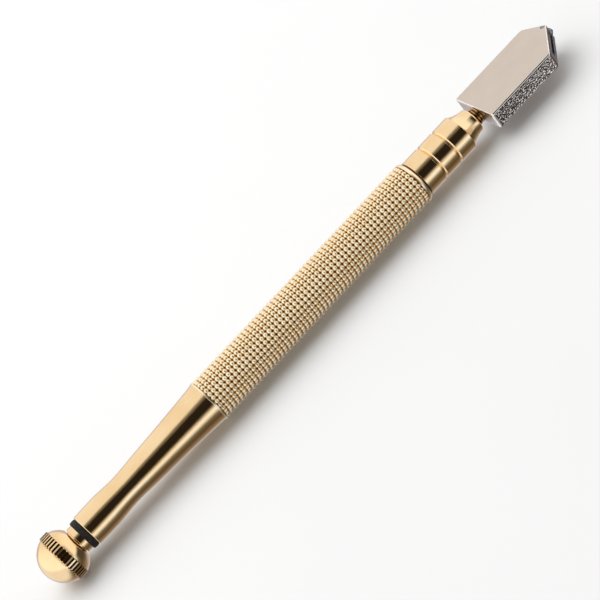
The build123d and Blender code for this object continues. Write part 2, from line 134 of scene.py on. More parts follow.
def ease(tree, value, start, end):
    """A smooth rise from 0 to 1 as a value goes from start to end."""
    made = tree.nodes.new("ShaderNodeMapRange")
    made.interpolation_type = "SMOOTHSTEP"
    made.inputs["From Min"].default_value = start
    made.inputs["From Max"].default_value = end
    tree.links.new(value, made.inputs["Value"])
    return made.outputs["Result"]


def mixed(tree, share, first, second):
    """A colour between two others; each is a colour or another node's output."""
    made = tree.nodes.new("ShaderNodeMix")
    made.data_type = "RGBA"
    tree.links.new(share, made.inputs["Factor"])
    for value, name in ((first, "A"), (second, "B")):
        socket = [s for s in made.inputs if s.name == name and s.type == "RGBA"][0]
        if isinstance(value, tuple):
            socket.default_value = value
        else:
            tree.links.new(value, socket)
    return [s for s in made.outputs if s.type == "RGBA"][0]


class Finish:
    """A material and short ways to add nodes to it."""

    def __init__(self, name, colour, metallic, roughness):
        self.material = bpy.data.materials.new(name)
        self.material.use_nodes = True
        self.tree = self.material.node_tree
        self.shader = self.tree.nodes["Principled BSDF"]
        self.shader.inputs["Base Color"].default_value = colour
        self.shader.inputs["Metallic"].default_value = metallic
        self.shader.inputs["Roughness"].default_value = roughness
        self.height = None
        self.place = self.tree.nodes.new("ShaderNodeTexCoord").outputs["Object"]

    def stretched(self, scale):
        """Object coordinates times a scale for each axis, in features a metre."""
        mapping = self.tree.nodes.new("ShaderNodeMapping")
        mapping.inputs["Scale"].default_value = scale
        self.tree.links.new(self.place, mapping.inputs["Vector"])
        return mapping.outputs["Vector"]

    def noise(self, scale, detail=3.0, roughness=0.55):
        """Fractal noise from 0 to 1 over stretched coordinates."""
        made = self.tree.nodes.new("ShaderNodeTexNoise")
        made.inputs["Scale"].default_value = 1.0
        made.inputs["Detail"].default_value = detail
        made.inputs["Roughness"].default_value = roughness
        self.tree.links.new(self.stretched(scale), made.inputs["Vector"])
        return made.outputs["Fac"]

    def radius(self):
        """Distance from the tool's long axis, in metres."""
        mapping = self.stretched((0.0, 1.0, 1.0))
        made = self.tree.nodes.new("ShaderNodeVectorMath")
        made.operation = "LENGTH"
        self.tree.links.new(mapping, made.inputs[0])
        return made.outputs["Value"]

    def length(self):
        """Place along the tool's long axis, in metres."""
        split = self.tree.nodes.new("ShaderNodeSeparateXYZ")
        self.tree.links.new(self.place, split.inputs["Vector"])
        return split.outputs["X"]

    def remap(self, value, old_low, old_high, low, high):
        """Moves a value from one range to another, clamped."""
        made = self.tree.nodes.new("ShaderNodeMapRange")
        made.inputs["From Min"].default_value = old_low
        made.inputs["From Max"].default_value = old_high
        made.inputs["To Min"].default_value = low
        made.inputs["To Max"].default_value = high
        self.tree.links.new(value, made.inputs["Value"])
        return made.outputs["Result"]

    def share(self, value, start, end):
        """0 up to start and 1 from end, in a straight line between."""
        return self.remap(value, start, end, 0.0, 1.0)

    def blend(self, share, first, second):
        """A colour between two others by a share from 0 to 1."""
        return mixed(self.tree, share, first, second)

    def colour(self, output):
        """Links the shader's colour."""
        self.tree.links.new(output, self.shader.inputs["Base Color"])

    def rough(self, output):
        """Links the shader's roughness."""
        self.tree.links.new(output, self.shader.inputs["Roughness"])

    def bump(self, output, depth, strength=1.0):
        """Adds relief of a real depth in metres, on top of any added before."""
        made = self.tree.nodes.new("ShaderNodeBump")
        made.inputs["Strength"].default_value = strength
        made.inputs["Distance"].default_value = depth
        self.tree.links.new(output, made.inputs["Height"])
        if self.height is not None:
            self.tree.links.new(self.height, made.inputs["Normal"])
        self.height = made.outputs["Normal"]
        self.tree.links.new(self.height, self.shader.inputs["Normal"])


BRASS = (0.94, 0.70, 0.41, 1.0)
BRASS_PALE = (0.95, 0.75, 0.47, 1.0)
BRASS_DEEP = (0.88, 0.60, 0.30, 1.0)
# Painted shade for hollows: near-black brass for the cap's gaps, the nose's mouth and the stem's thread
# roots.
BRASS_SHADE = (0.07, 0.035, 0.012, 1.0)
# Painted light on the knurl: a painted highlight for the crests, painted shade for the flanks and pits.
BRASS_CREST_HIGHLIGHT = (1.0, 0.92, 0.68, 1.0)
BRASS_FLANK_SHADE = (0.66, 0.34, 0.08, 1.0)
BRASS_PIT_SHADE = (0.12, 0.04, 0.006, 1.0)
# Painted shade too: the paler patches in those hollows.
BRASS_SHADE_PALE = (0.2, 0.11, 0.04, 1.0)
BRASS_WORN = (0.55, 0.30, 0.10, 1.0)


def polished_brass():
    """Polished brass: warm blotches, faint turning lines and a fine haze."""
    made = Finish("polished_brass", BRASS, 1.0, 0.14)
    blotches = made.noise((90, 140, 140), 4.0)
    made.colour(made.blend(made.share(blotches, 0.35, 0.7), BRASS, BRASS_DEEP))
    lines = made.noise((9000, 120, 120), 2.0)
    made.rough(made.remap(lines, 0.3, 0.75, 0.06, 0.14))
    made.bump(lines, 0.8 * MICRON)
    made.bump(made.noise((700, 700, 700), 2.0), 14 * MICRON)
    return made.material


def knurled_brass(root, crest):
    """Knurled brass: a painted highlight on the crests, painted shade in the roots, by radius."""
    made = Finish("knurled_brass", BRASS_PALE, 1.0, 0.22)
    depth = crest - root
    # The deeper the surface, the more painted shade; the crests take a painted highlight in patches.
    pit_end = root + 0.46 * depth
    pit_shade_share = made.share(made.radius(), root + 0.20 * depth, pit_end)
    shade_to_highlight = made.share(made.radius(), pit_end, root + 0.76 * depth)
    patches = made.noise((400, 900, 900), 4.0)
    crest_highlight = made.blend(made.share(patches, 0.3, 0.75), BRASS_CREST_HIGHLIGHT, BRASS_PALE)
    brown = made.blend(pit_shade_share, BRASS_PIT_SHADE, BRASS_FLANK_SHADE)
    made.colour(made.blend(shade_to_highlight, brown, crest_highlight))
    made.rough(made.remap(shade_to_highlight, 0.0, 1.0, 0.4, 0.29))
    made.bump(made.noise((5000, 5000, 5000), 3.0), 6 * MICRON)
    return made.material


def painted_shade_brass():
    """Painted shade for hollows: near-black brass with paler patches."""
    made = Finish("painted_shade_brass", BRASS_SHADE, 1.0, 0.5)
    patches = made.noise((3000, 3000, 3000), 3.0)
    made.colour(made.blend(made.share(patches, 0.3, 0.75), BRASS_SHADE, BRASS_SHADE_PALE))
    made.rough(made.remap(patches, 0.3, 0.7, 0.4, 0.6))
    made.bump(patches, 10 * MICRON)
    return made.material


def turned_brass():
    """Brass as it leaves the lathe: clearer rings and a duller shine."""
    made = Finish("turned_brass", BRASS, 1.0, 0.25)
    blotches = made.noise((300, 300, 300), 4.0)
    made.colour(made.blend(made.share(blotches, 0.35, 0.7), BRASS, BRASS_DEEP))
    rings = made.noise((14000, 200, 200), 2.0)
    made.rough(made.remap(rings, 0.3, 0.75, 0.16, 0.32))
    made.bump(rings, 3 * MICRON)
    return made.material


NICKEL = (0.67, 0.58, 0.50, 1.0)
NICKEL_WARM = (0.64, 0.545, 0.46, 1.0)
# Oil with painted shade for the slot and the axle's recess, near black.
NICKEL_OIL_SHADE = (0.09, 0.08, 0.075, 1.0)
OIL_SHADE_DARK = (0.03, 0.025, 0.02, 1.0)
OIL_SHADE_PALE = (0.2, 0.18, 0.16, 1.0)
# The narrow faces' grain: painted highlight for its sparkle and painted shade for its pits, darker towards
# the handle.
GRAIN_GLINT_BACK = (0.70, 0.62, 0.56, 1.0)
GRAIN_GLINT_FRONT = (1.0, 0.90, 0.82, 1.0)
GRAIN_PIT_SHADE_BACK = (0.015, 0.012, 0.010, 1.0)
GRAIN_PIT_SHADE_FRONT = (0.12, 0.10, 0.09, 1.0)
# Painted highlight on the head's broken edges.
EDGE_HIGHLIGHT = (0.92, 0.88, 0.84, 1.0)
# Painted shade on the gable faces: a lighter and a darker grey between the scratches.
GABLE_SHADE_LIGHTER = (0.44, 0.36, 0.3, 1.0)
GABLE_SHADE_DARKER = (0.14, 0.11, 0.09, 1.0)


def satin_nickel():
    """The head's wide faces: satin nickel over fine linishing marks."""
    made = Finish("satin_nickel", NICKEL, 1.0, 0.34)
    clouds = made.noise((160, 220, 160), 4.0)
    made.colour(made.blend(made.share(clouds, 0.35, 0.7), NICKEL, NICKEL_WARM))
    grain = made.noise((9000, 9000, 9000), 3.0)
    made.rough(made.remap(grain, 0.3, 0.7, 0.3, 0.42))
    made.bump(grain, 3 * MICRON)
    return made.material


def cast_nickel(back, front):
    """The head's narrow faces: nickel over a grain whose sparkle is painted highlight
    and whose dark pits are painted shade, darker towards the handle."""
    made = Finish("cast_nickel", NICKEL, 1.0, 0.25)
    grain = made.noise((2900, 2900, 2900), 1.0, 0.6)
    along = made.share(made.length(), back, front)
    # Painted highlight and painted shade in the grain, both darker towards the handle.
    bright = made.blend(along, GRAIN_GLINT_BACK, GRAIN_GLINT_FRONT)
    dark = made.blend(along, GRAIN_PIT_SHADE_BACK, GRAIN_PIT_SHADE_FRONT)
    made.colour(made.blend(made.share(grain, 0.46, 0.54), dark, bright))
    made.rough(made.remap(grain, 0.35, 0.65, 0.35, 0.14))
    made.bump(grain, 80 * MICRON)
    return made.material


def highlight_and_wear_nickel():
    """The head's broken edges: a painted highlight, mottled with rubbing wear."""
    made = Finish("highlight_and_wear_nickel", EDGE_HIGHLIGHT, 1.0, 0.09)
    wear_and_highlight = made.noise((900, 900, 900), 3.0)
    # Painted highlight, mottled with rubbing wear.
    made.colour(made.blend(made.share(wear_and_highlight, 0.35, 0.7), EDGE_HIGHLIGHT, NICKEL))
    made.rough(made.remap(wear_and_highlight, 0.3, 0.7, 0.06, 0.16))
    made.bump(wear_and_highlight, 4 * MICRON)
    return made.material


def oil_and_shade_nickel():
    """Cut metal in the slot and the axle's recess: oil and glass dust, with painted shade making it near
    black.
    """
    made = Finish("oil_and_shade_nickel", NICKEL_OIL_SHADE, 1.0, 0.35)
    oil_and_shade_mottle = made.noise((2500, 2500, 2500), 3.0)
    # Oil mottle darkened with painted shade.
    made.colour(made.blend(made.share(oil_and_shade_mottle, 0.35, 0.65), OIL_SHADE_DARK, OIL_SHADE_PALE))
    made.rough(made.remap(oil_and_shade_mottle, 0.3, 0.7, 0.25, 0.5))
    made.bump(oil_and_shade_mottle, 8 * MICRON)
    return made.material


def shaded_ground_nickel():
    """The gable faces: ground across, thinly plated, with painted shade darkening them."""
    made = Finish("shaded_ground_nickel", NICKEL, 1.0, 0.3)
    scratches = made.noise((900, 900, 6000), 3.0)
    # The scratches mottle a painted shade.
    made.colour(made.blend(made.share(scratches, 0.35, 0.7), GABLE_SHADE_LIGHTER, GABLE_SHADE_DARKER))
    made.rough(made.remap(scratches, 0.3, 0.7, 0.2, 0.36))
    made.bump(scratches, 4 * MICRON)
    return made.material


def ground_steel(name, bright, dark, along):
    """Ground or drawn steel with scratches along one axis."""
    made = Finish(name, bright, 1.0, 0.25)
    scratches = made.noise(along, 3.0)
    made.colour(made.blend(made.share(scratches, 0.35, 0.7), bright, dark))
    made.rough(made.remap(scratches, 0.3, 0.7, 0.18, 0.38))
    made.bump(scratches, 3 * MICRON)
    return made.material


RUBBER_BLACK = (0.008, 0.008, 0.008, 1.0)
RUBBER_BLOOM = (0.03, 0.028, 0.026, 1.0)
NYLON_CREAM = (0.80, 0.78, 0.72, 1.0)
NYLON_SHADE = (0.70, 0.67, 0.60, 1.0)
COTTON_PALE = (0.80, 0.75, 0.63, 1.0)
COTTON_DARK = (0.52, 0.44, 0.30, 1.0)


def black_rubber():
    """Matte moulded rubber with a fine bloom."""
    made = Finish("black_rubber", RUBBER_BLACK, 0.0, 0.6)
    made.shader.inputs["Specular IOR Level"].default_value = 0.2
    bloom = made.noise((1500, 1500, 1500), 4.0)
    share = made.share(bloom, 0.35, 0.7)
    made.colour(made.blend(share, RUBBER_BLACK, RUBBER_BLOOM))
    made.rough(made.remap(bloom, 0.3, 0.7, 0.5, 0.75))
    made.bump(made.noise((9000, 9000, 9000), 3.0), 8 * MICRON)
    return made.material


def stem_brass(root, crest):
    """The stem: bright ridge crests over thread roots darkened with painted shade."""
    made = Finish("stem_brass", BRASS_DEEP, 1.0, 0.2)
    height = made.share(made.radius(), root, crest)
    streaks = made.noise((800, 1500, 1500), 3.0)
    worn = made.blend(made.share(streaks, 0.3, 0.7), BRASS_DEEP, BRASS_WORN)
    # Painted shade darkens the thread roots, from worn brass at the crest to near black.
    made.colour(made.blend(height, BRASS_SHADE, worn))
    made.rough(made.remap(streaks, 0.3, 0.7, 0.12, 0.3))
    made.bump(streaks, 6 * MICRON)
    return made.material


def white_nylon():
    """Cream nylon with a faint mottle."""
    made = Finish("white_nylon", NYLON_CREAM, 0.0, 0.4)
    mottle = made.noise((2500, 2500, 2500), 3.0)
    share = made.share(mottle, 0.3, 0.7)
    made.colour(made.blend(share, NYLON_CREAM, NYLON_SHADE))
    made.rough(made.remap(mottle, 0.3, 0.7, 0.35, 0.5))
    made.bump(mottle, 4 * MICRON)
    return made.material


def cotton_wick():
    """Twisted cotton: yarn bands that wind round the axis."""
    made = Finish("cotton_wick", COTTON_PALE, 0.0, 0.9)
    fibres = made.noise((1800, 9000, 9000), 4.0)
    share = made.share(fibres, 0.3, 0.7)
    made.colour(made.blend(share, COTTON_PALE, COTTON_DARK))
    made.rough(made.remap(fibres, 0.3, 0.7, 0.8, 0.95))
    made.bump(fibres, 40 * MICRON)
    return made.material


# ---------------------------------------------------------------- studio

FLOOR_DROP = 0.00001
FLOOR_HALF = 4.0
FLOOR_COLOUR = (0.74, 0.74, 0.74, 1.0)
FLOOR_HAZE = 0.98


def make_floor():
    """A plain pale floor that just touches the tool's widest part."""
    level = CAD_LOW.z - FLOOR_DROP
    corners = [(-1, -1), (1, -1), (1, 1), (-1, 1)]
    mesh = bpy.data.meshes.new("floor")
    points = [(x * FLOOR_HALF, y * FLOOR_HALF, level) for x, y in corners]
    mesh.from_pydata(points, [], [(0, 1, 2, 3)])
    floor = bpy.data.objects.new("floor", mesh)
    bpy.context.scene.collection.objects.link(floor)
    made = Finish("pale_floor", FLOOR_COLOUR, 0.0, 0.9)
    made.shader.inputs["Specular IOR Level"].default_value = 0.0
    haze = made.noise((6, 6, 6), 2.0)
    hazy = (*[FLOOR_HAZE * channel for channel in FLOOR_COLOUR[:3]], 1.0)
    made.colour(made.blend(made.share(haze, 0.3, 0.7), FLOOR_COLOUR, hazy))
    mesh.materials.append(made.material)
    floor.visible_glossy = False


make_floor()


# The studio's brightness. The first three are the stretches of the sideways or upward share
# of a direction over which one part of the room fades into the next. ROOM gives the colour
# by the angle above the viewer's horizon, through overhead at 90 to the far horizon at 180
# and on below it; HORIZON fills its two ends.
PAST_WHEEL = (0.5, 0.85)
PAST_CAP = (-0.35, -0.65)
LOW_DOWN = (0.0, -0.25)
PAST_WHEEL_HIGH = (1.15, 1.15, 1.15, 1.0)
PAST_WHEEL_LOW = (0.08, 0.07, 0.06, 1.0)
PAST_CAP_HIGH = (1.25, 1.25, 1.25, 1.0)
PAST_CAP_LOW = (0.95, 0.95, 0.97, 1.0)
HORIZON = (0.62, 0.62, 0.64)
ROOM = (
    (-60, (0.11, 0.085, 0.06)),
    (-47, (0.15, 0.125, 0.095)),
    (-35, (0.24, 0.22, 0.19)),
    (-27, (0.62, 0.70, 0.78)),
    (-15, (1.15, 1.25, 1.40)),
    (-7, (1.00, 1.08, 1.20)),
    (8, (0.16, 0.145, 0.13)),
    (15, (0.022, 0.018, 0.013)),
    (50, (0.022, 0.018, 0.013)),
    (63, (0.20, 0.19, 0.16)),
    (80, (1.0, 1.0, 1.0)),
    (172, (1.0, 1.0, 1.0)),
    (186, (0.66, 0.64, 0.72)),
    (215, (0.62, 0.62, 0.72)),
    (245, (0.52, 0.52, 0.58)),
    (264, (0.30, 0.265, 0.235)),
    (285, (0.19, 0.15, 0.11)),
)
KEY_PLACE = Vector((-0.15, 0.30, 0.75))
KEY_SIZE = 0.9
KEY_POWER = 5.0


def light_studio():
    """A studio whose brightness changes by the angle round the tool's long axis. Past the
    wheel it is bright above and dim below, past the cap it is pale low down, and one soft
    key lights only what is matt."""
    world = bpy.data.worlds.new("studio")
    bpy.context.scene.world = world
    world.use_nodes = True
    tree = world.node_tree
    new, link = tree.nodes.new, tree.links.new
    split = new("ShaderNodeSeparateXYZ")
    link(new("ShaderNodeTexCoord").outputs["Generated"], split.inputs["Vector"])
    around = new("ShaderNodeMath")
    around.operation = "ARCTAN2"
    link(split.outputs["Z"], around.inputs[0])
    link(split.outputs["Y"], around.inputs[1])
    share = new("ShaderNodeMapRange")
    share.inputs["From Min"].default_value = -math.pi
    share.inputs["From Max"].default_value = math.pi
    link(around.outputs["Value"], share.inputs["Value"])
    ramp = new("ShaderNodeValToRGB")
    ramp.color_ramp.interpolation = "EASE"
    link(share.outputs["Result"], ramp.inputs["Fac"])
    for end in ramp.color_ramp.elements:
        end.color = (*HORIZON, 1.0)
    for angle, colour in ROOM:
        stop = ramp.color_ramp.elements.new(-angle % 360 / 360)
        stop.color = (*colour, 1.0)
    ahead = ease(tree, split.outputs["X"], *PAST_WHEEL)
    behind = ease(tree, split.outputs["X"], *PAST_CAP)
    low = ease(tree, split.outputs["Z"], *LOW_DOWN)
    beyond_wheel = mixed(tree, low, PAST_WHEEL_HIGH, PAST_WHEEL_LOW)
    past_cap = mixed(tree, low, PAST_CAP_HIGH, PAST_CAP_LOW)
    room = mixed(tree, ahead, ramp.outputs["Color"], beyond_wheel)
    room = mixed(tree, behind, room, past_cap)
    link(room, tree.nodes["Background"].inputs["Color"])
    lamp = bpy.data.lights.new("key", "AREA")
    lamp.size = KEY_SIZE
    lamp.energy = KEY_POWER
    key = bpy.data.objects.new("key", lamp)
    bpy.context.scene.collection.objects.link(key)
    key.location = KEY_PLACE
    key.rotation_euler = (-KEY_PLACE).to_track_quat("-Z", "Y").to_euler()
    key.visible_glossy = False


light_studio()


# ---------------------------------------------------------------- turned pieces


def softened(corners):
    """Rounds the corners of an outline of (x, radius, rounding) points, with a support
    point each side of a rounding, and gives plain (x, radius) points."""
    steps = 4
    points = []
    for index, (x, radius, rounding) in enumerate(corners):
        here = Vector((x, radius))
        if rounding <= 0:
            points.append(here)
            continue
        before = Vector(corners[index - 1][:2]) - here
        after = Vector(corners[(index + 1) % len(corners)][:2]) - here
        half = before.angle(after) / 2
        reach = min(rounding / math.tan(half), 0.45 * before.length, 0.45 * after.length)
        start = here + before.normalized() * reach
        end = here + after.normalized() * reach
        support = 0.25 * reach
        points.append(start + before.normalized() * support)
        for step in range(steps + 1):
            share = step / steps
            points.append((1 - share) ** 2 * start + 2 * share * (1 - share) * here + share**2 * end)
        points.append(end + after.normalized() * support)
    return [(point.x, point.y) for point in points]


def arc(start, middle, end, count):
    """Points on the circle through three points, from start to end."""
    (ax, ay), (bx, by), (cx, cy) = start, middle, end
    twice = 2 * (ax * (by - cy) + bx * (cy - ay) + cx * (ay - by))
    squares = [x * x + y * y for x, y in (start, middle, end)]
    centre_x = (squares[0] * (by - cy) + squares[1] * (cy - ay) + squares[2] * (ay - by)) / twice
    centre_y = (squares[0] * (cx - bx) + squares[1] * (ax - cx) + squares[2] * (bx - ax)) / twice
    size = math.hypot(ax - centre_x, ay - centre_y)
    first = math.atan2(ay - centre_y, ax - centre_x)
    last = math.atan2(cy - centre_y, cx - centre_x)
    sweep = (last - first + math.pi) % TURN - math.pi
    angles = [first + sweep * step / count for step in range(count + 1)]
    return [(centre_x + size * math.cos(a), centre_y + size * math.sin(a), 0) for a in angles]


def curve(knots, start_slope, end_slope, count):
    """A smooth outline through (x, radius) knots with given slopes at its ends."""
    xs = [x for x, radius in knots]
    rs = [radius for x, radius in knots]
    last = len(knots) - 1
    slopes = [start_slope]
    for index in range(1, last):
        slopes.append((rs[index + 1] - rs[index - 1]) / (xs[index + 1] - xs[index - 1]))
    slopes.append(end_slope)
    points = []
    for index in range(last):
        width = xs[index + 1] - xs[index]
        for step in range(count):
            t = step / count
            radius = (
                (2 * t**3 - 3 * t**2 + 1) * rs[index]
                + (t**3 - 2 * t**2 + t) * width * slopes[index]
                + (3 * t**2 - 2 * t**3) * rs[index + 1]
                + (t**3 - t**2) * width * slopes[index + 1]
            )
            points.append((xs[index] + t * width, radius, 0))
    return points + [(xs[last], rs[last], 0)]


def lathe(name, outline, segments, shape=None):
    """Turns an outline of (x, radius) points in millimetres about the X axis. The outline
    is closed, and points of no radius become poles. shape(x, radius, angle) may change a
    radius."""
    made = bmesh.new()
    rings = []
    for x, radius in outline:
        if radius < 1e-6:
            rings.append([made.verts.new((x * MM, 0, 0))])
            continue
        ring = []
        for index in range(segments):
            angle = TURN * index / segments
            size = shape(x, radius, angle) if shape else radius
            ring.append(made.verts.new((x * MM, size * math.cos(angle) * MM, size * math.sin(angle) * MM)))
        rings.append(ring)
    for index, ring in enumerate(rings):
        following = rings[(index + 1) % len(rings)]
        if len(ring) == 1 and len(following) == 1:
            continue
        for side in range(segments):
            other = (side + 1) % segments
            corners = [ring[side % len(ring)], following[side % len(following)]]
            if len(following) > 1:
                corners.append(following[other])
            if len(ring) > 1:
                corners.append(ring[other])
            made.faces.new(corners)
    bmesh.ops.recalc_face_normals(made, faces=made.faces)
    return finish_mesh(name, made)


def finish_mesh(name, made):
    """Makes a shaded object of a bmesh and links it."""
    mesh = bpy.data.meshes.new(name)
    shade(made, mesh)
    piece = bpy.data.objects.new(name, mesh)
    bpy.context.scene.collection.objects.link(piece)
    return piece


def shade(made, mesh):
    """Writes a bmesh to a mesh, smooth but for sharp creases and broad flats."""
    for face in made.faces:
        face.smooth = face.calc_area() < FLAT_AREA * MM * MM
    for edge in made.edges:
        edge.smooth = len(edge.link_faces) != 2 or edge.calc_face_angle() < CREASE
    made.to_mesh(mesh)
    made.free()


def block(name, low, high):
    """A box between two corners in millimetres."""
    made = bmesh.new()
    bmesh.ops.create_cube(made, size=1.0)
    for vertex in made.verts:
        share = vertex.co + Vector((0.5, 0.5, 0.5))
        vertex.co = (low + share * (high - low)) * MM
    return finish_mesh(name, made)


def disc(name, middle, radius, thickness, sides, material):
    """A closed disc across Z, for cutting; it leaves its material on the cut."""
    made = bmesh.new()
    place = Matrix.Translation(middle * MM)
    bmesh.ops.create_cone(
        made, cap_ends=True, segments=sides, radius1=radius * MM, radius2=radius * MM,
        depth=thickness * MM, matrix=place,
    )
    piece = finish_mesh(name, made)
    piece.data.materials.append(material)
    return piece


def cut(piece, cutter):
    """Takes one closed piece out of another, exactly, and removes the cutter."""
    modifier = piece.modifiers.new("cut", "BOOLEAN")
    modifier.operation = "DIFFERENCE"
    modifier.solver = "EXACT"
    modifier.material_mode = "TRANSFER"
    modifier.object = cutter
    graph = bpy.context.evaluated_depsgraph_get()
    mesh = bpy.data.meshes.new_from_object(piece.evaluated_get(graph))
    made = bmesh.new()
    made.from_mesh(mesh)
    shade(made, mesh)
    piece.modifiers.clear()
    piece.data = mesh
    bpy.data.objects.remove(cutter)


def stands_for(piece, node, body, slot, *materials):
    """Puts a piece in a CAD node's place, on its body and with its finish."""
    for material in materials:
        if material.name not in piece.data.materials:
            piece.data.materials.append(material)
    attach(piece, body)
    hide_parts(node)


SEGMENTS = 240
THREAD_PITCH = 0.75
THREAD_DEPTH = 0.35


def thread_height(x, angle, start, end):
    """0 at a right-hand thread's root and 1 at its crest, run out at both ends."""
    place = (x - start) / THREAD_PITCH - angle / TURN
    away = abs(place - round(place)) * 2
    crest = min(max((away - 0.1) / 0.7, 0.0), 1.0)
    return crest * smoothstep(x, start, start + 0.6) * smoothstep(-x, -end, 0.5 - end)


def stations(start, end, count):
    """Evenly spaced places from start to end."""
    return [start + (end - start) * index / count for index in range(count + 1)]


# ---------------------------------------------------------------- oil cap

RIDGE_COUNT = 44
DOME_LENGTH = 5.05
DOME_RADIUS = 6.38
RIM_WIDTH = 2.5
SHOULDER_LENGTH = 3.25
PLUG_RADIUS = 2.95
NECK_RADIUS = 3.2
FLANGE_RADIUS = 3.65
GAP_DEPTH = 0.2
GAP_CHAMFER = 0.12
# Faces in the rim's gaps within this height above the dome's radius get painted shade.
GAP_SHADE_REACH = 0.18
NECK_RELIEF = 0.3
PLUG_CHAMFER = 0.3


def build_cap():
    """The cap in one turning: dome, ridged rim, shoulder, neck and threaded plug. The gaps
    between the rim's ridges get painted shade."""
    low, high = box_of("oil_cap")
    gasket_back = box_of("cap_gasket")[0].x
    barrel_back = box_of("barrel")[0].x
    rim_back = low.x + DOME_LENGTH
    rim_front = rim_back + RIM_WIDTH
    neck_back = rim_front + SHOULDER_LENGTH
    rim_radius = high.y
    sphere = (DOME_LENGTH**2 + DOME_RADIUS**2) / (2 * DOME_LENGTH)
    half = math.asin(DOME_RADIUS / sphere) / 2
    dome_middle = (low.x + sphere * (1 - math.cos(half)), sphere * math.sin(half))
    dome = arc((low.x, 0.0), dome_middle, (rim_back, DOME_RADIUS), 40)
    shoulder = arc(
        (rim_front, DOME_RADIUS),
        (rim_front + 1.85, 5.3),
        (neck_back - NECK_RELIEF, 3.95),
        24,
    )
    root = PLUG_RADIUS - THREAD_DEPTH
    rim = [(x, rim_radius, 0) for x in stations(rim_back + GAP_CHAMFER, rim_front - GAP_CHAMFER, 8)]
    outline = [
        *dome,
        *rim,
        *shoulder,
        (neck_back - NECK_RELIEF, NECK_RADIUS, 0.05),
        (neck_back, NECK_RADIUS, 0.05),
        (neck_back, FLANGE_RADIUS, 0.12),
        (gasket_back, FLANGE_RADIUS, 0.05),
        (gasket_back, root, 0),
        *[(x, root, 0) for x in stations(gasket_back + 0.2, barrel_back, 3)],
        *[(x, root, 0) for x in stations(barrel_back, high.x - PLUG_CHAMFER, 64)[1:]],
        (high.x, root - PLUG_CHAMFER, 0.05),
        (high.x, 0.0, 0),
    ]

    def shape(x, radius, angle):
        if rim_back <= x <= rim_front and radius > DOME_RADIUS - 0.01:
            place = angle * RIDGE_COUNT / TURN
            away = abs(place - round(place)) * 2
            bar = smoothstep(away, 0.3, 0.6)
            return radius - (radius - DOME_RADIUS + GAP_DEPTH) * (1 - bar)
        if x > barrel_back and radius > root - 0.05:
            return radius + THREAD_DEPTH * thread_height(x, angle, barrel_back, high.x - PLUG_CHAMFER)
        return radius

    piece = lathe("cap_turning", softened(outline), RIDGE_COUNT * 10, shape)
    # Faces in the rim's gaps take the near-black painted shade.
    for face in piece.data.polygons:
        middle = face.center / MM
        across = math.hypot(middle.y, middle.z)
        if rim_back < middle.x < rim_front and across < DOME_RADIUS + GAP_SHADE_REACH:
            face.material_index = 1
    stands_for(piece, "oil_cap", "cap", "polished_brass", POLISHED, SHADE_BRASS)


POLISHED = polished_brass()
SHADE_BRASS = painted_shade_brass()
build_cap()


def build_gasket():
    """The rubber ring under the cap, a little crowned and rounded at its edges."""
    low, high = box_of("cap_gasket")
    inner = PLUG_RADIUS - THREAD_DEPTH + 0.05
    middle = (low.x + high.x) / 2
    crown = arc((low.x + 0.12, high.y - 0.1), (middle, high.y), (high.x - 0.12, high.y - 0.1), 10)
    outline = [
        (low.x, inner, 0.05),
        (low.x, high.y - 0.22, 0),
        *crown,
        (high.x, high.y - 0.22, 0),
        (high.x, inner, 0.05),
    ]
    piece = lathe("cap_seal_ring", softened(outline), SEGMENTS)
    stands_for(piece, "cap_gasket", "cap_seal", "black_rubber", RUBBER)


RUBBER = black_rubber()
build_gasket()


# ---------------------------------------------------------------- barrel

RIM_EDGE_RADIUS = 4.38
WAIST_RADIUS = 4.06
CORE_RADIUS = 4.85
RESERVOIR_RADIUS = 3.2
MOUTH_RADIUS = 3.0
MOUTH_LENGTH = 7.0
MOUTH_THREAD_DEPTH = 0.22
SPIGOT_RADIUS = 4.2
TAIL_SLOPES = (0.02, 0.11)


def build_barrel():
    """The barrel with its hourglass tail, its threaded mouth and its long bore."""
    low, high = box_of("barrel")
    grip_back = box_of("grip_sleeve")[0].x
    nose_back = box_of("nose_ferrule")[0].x
    knots = (
        (low.x + 0.2, RIM_EDGE_RADIUS),
        (low.x + 6.5, RIM_EDGE_RADIUS + 0.05),
        (low.x + 12.8, WAIST_RADIUS),
        (low.x + 20.0, 4.43),
        (low.x + 31.0, 5.02),
        (grip_back, 5.75),
    )
    mouth_end = low.x + MOUTH_LENGTH
    outline = [
        (low.x, MOUTH_RADIUS, 0.1),
        (low.x, RIM_EDGE_RADIUS - 0.15, 0),
        (low.x + 0.05, RIM_EDGE_RADIUS - 0.06, 0),
        *curve(knots, *TAIL_SLOPES, 12),
        (grip_back, CORE_RADIUS, 0),
        (high.x, CORE_RADIUS, 0),
        (high.x, SPIGOT_RADIUS, 0),
        (nose_back, SPIGOT_RADIUS, 0),
        (nose_back, RESERVOIR_RADIUS, 0),
        (mouth_end, RESERVOIR_RADIUS, 0),
        *[(x, MOUTH_RADIUS, 0) for x in stations(mouth_end - 0.01, low.x + 0.3, 64)],
    ]

    def shape(x, radius, angle):
        if abs(radius - MOUTH_RADIUS) < 1e-6:
            return radius + MOUTH_THREAD_DEPTH * thread_height(x, angle, low.x, mouth_end)
        return radius

    piece = lathe("barrel_turning", softened(outline), SEGMENTS, shape)
    stands_for(piece, "barrel", "handle", "polished_brass", POLISHED)


build_barrel()


# ---------------------------------------------------------------- knurled grip

KNURL_RINGS = 56
KNURL_COLUMNS = 28
KNURL_DEPTH = 0.72
RING_SHARE = 0.56
BACK_RING = 0.5
COLLAR_LENGTH = 1.2
RING_STEPS = 7
COLUMN_STEPS = 8
# A bead's top is dented by up to this share of its height, by noise read at places spread
# this far apart.
BEAD_DENT = 0.06
DENT_SPREAD = 3.7


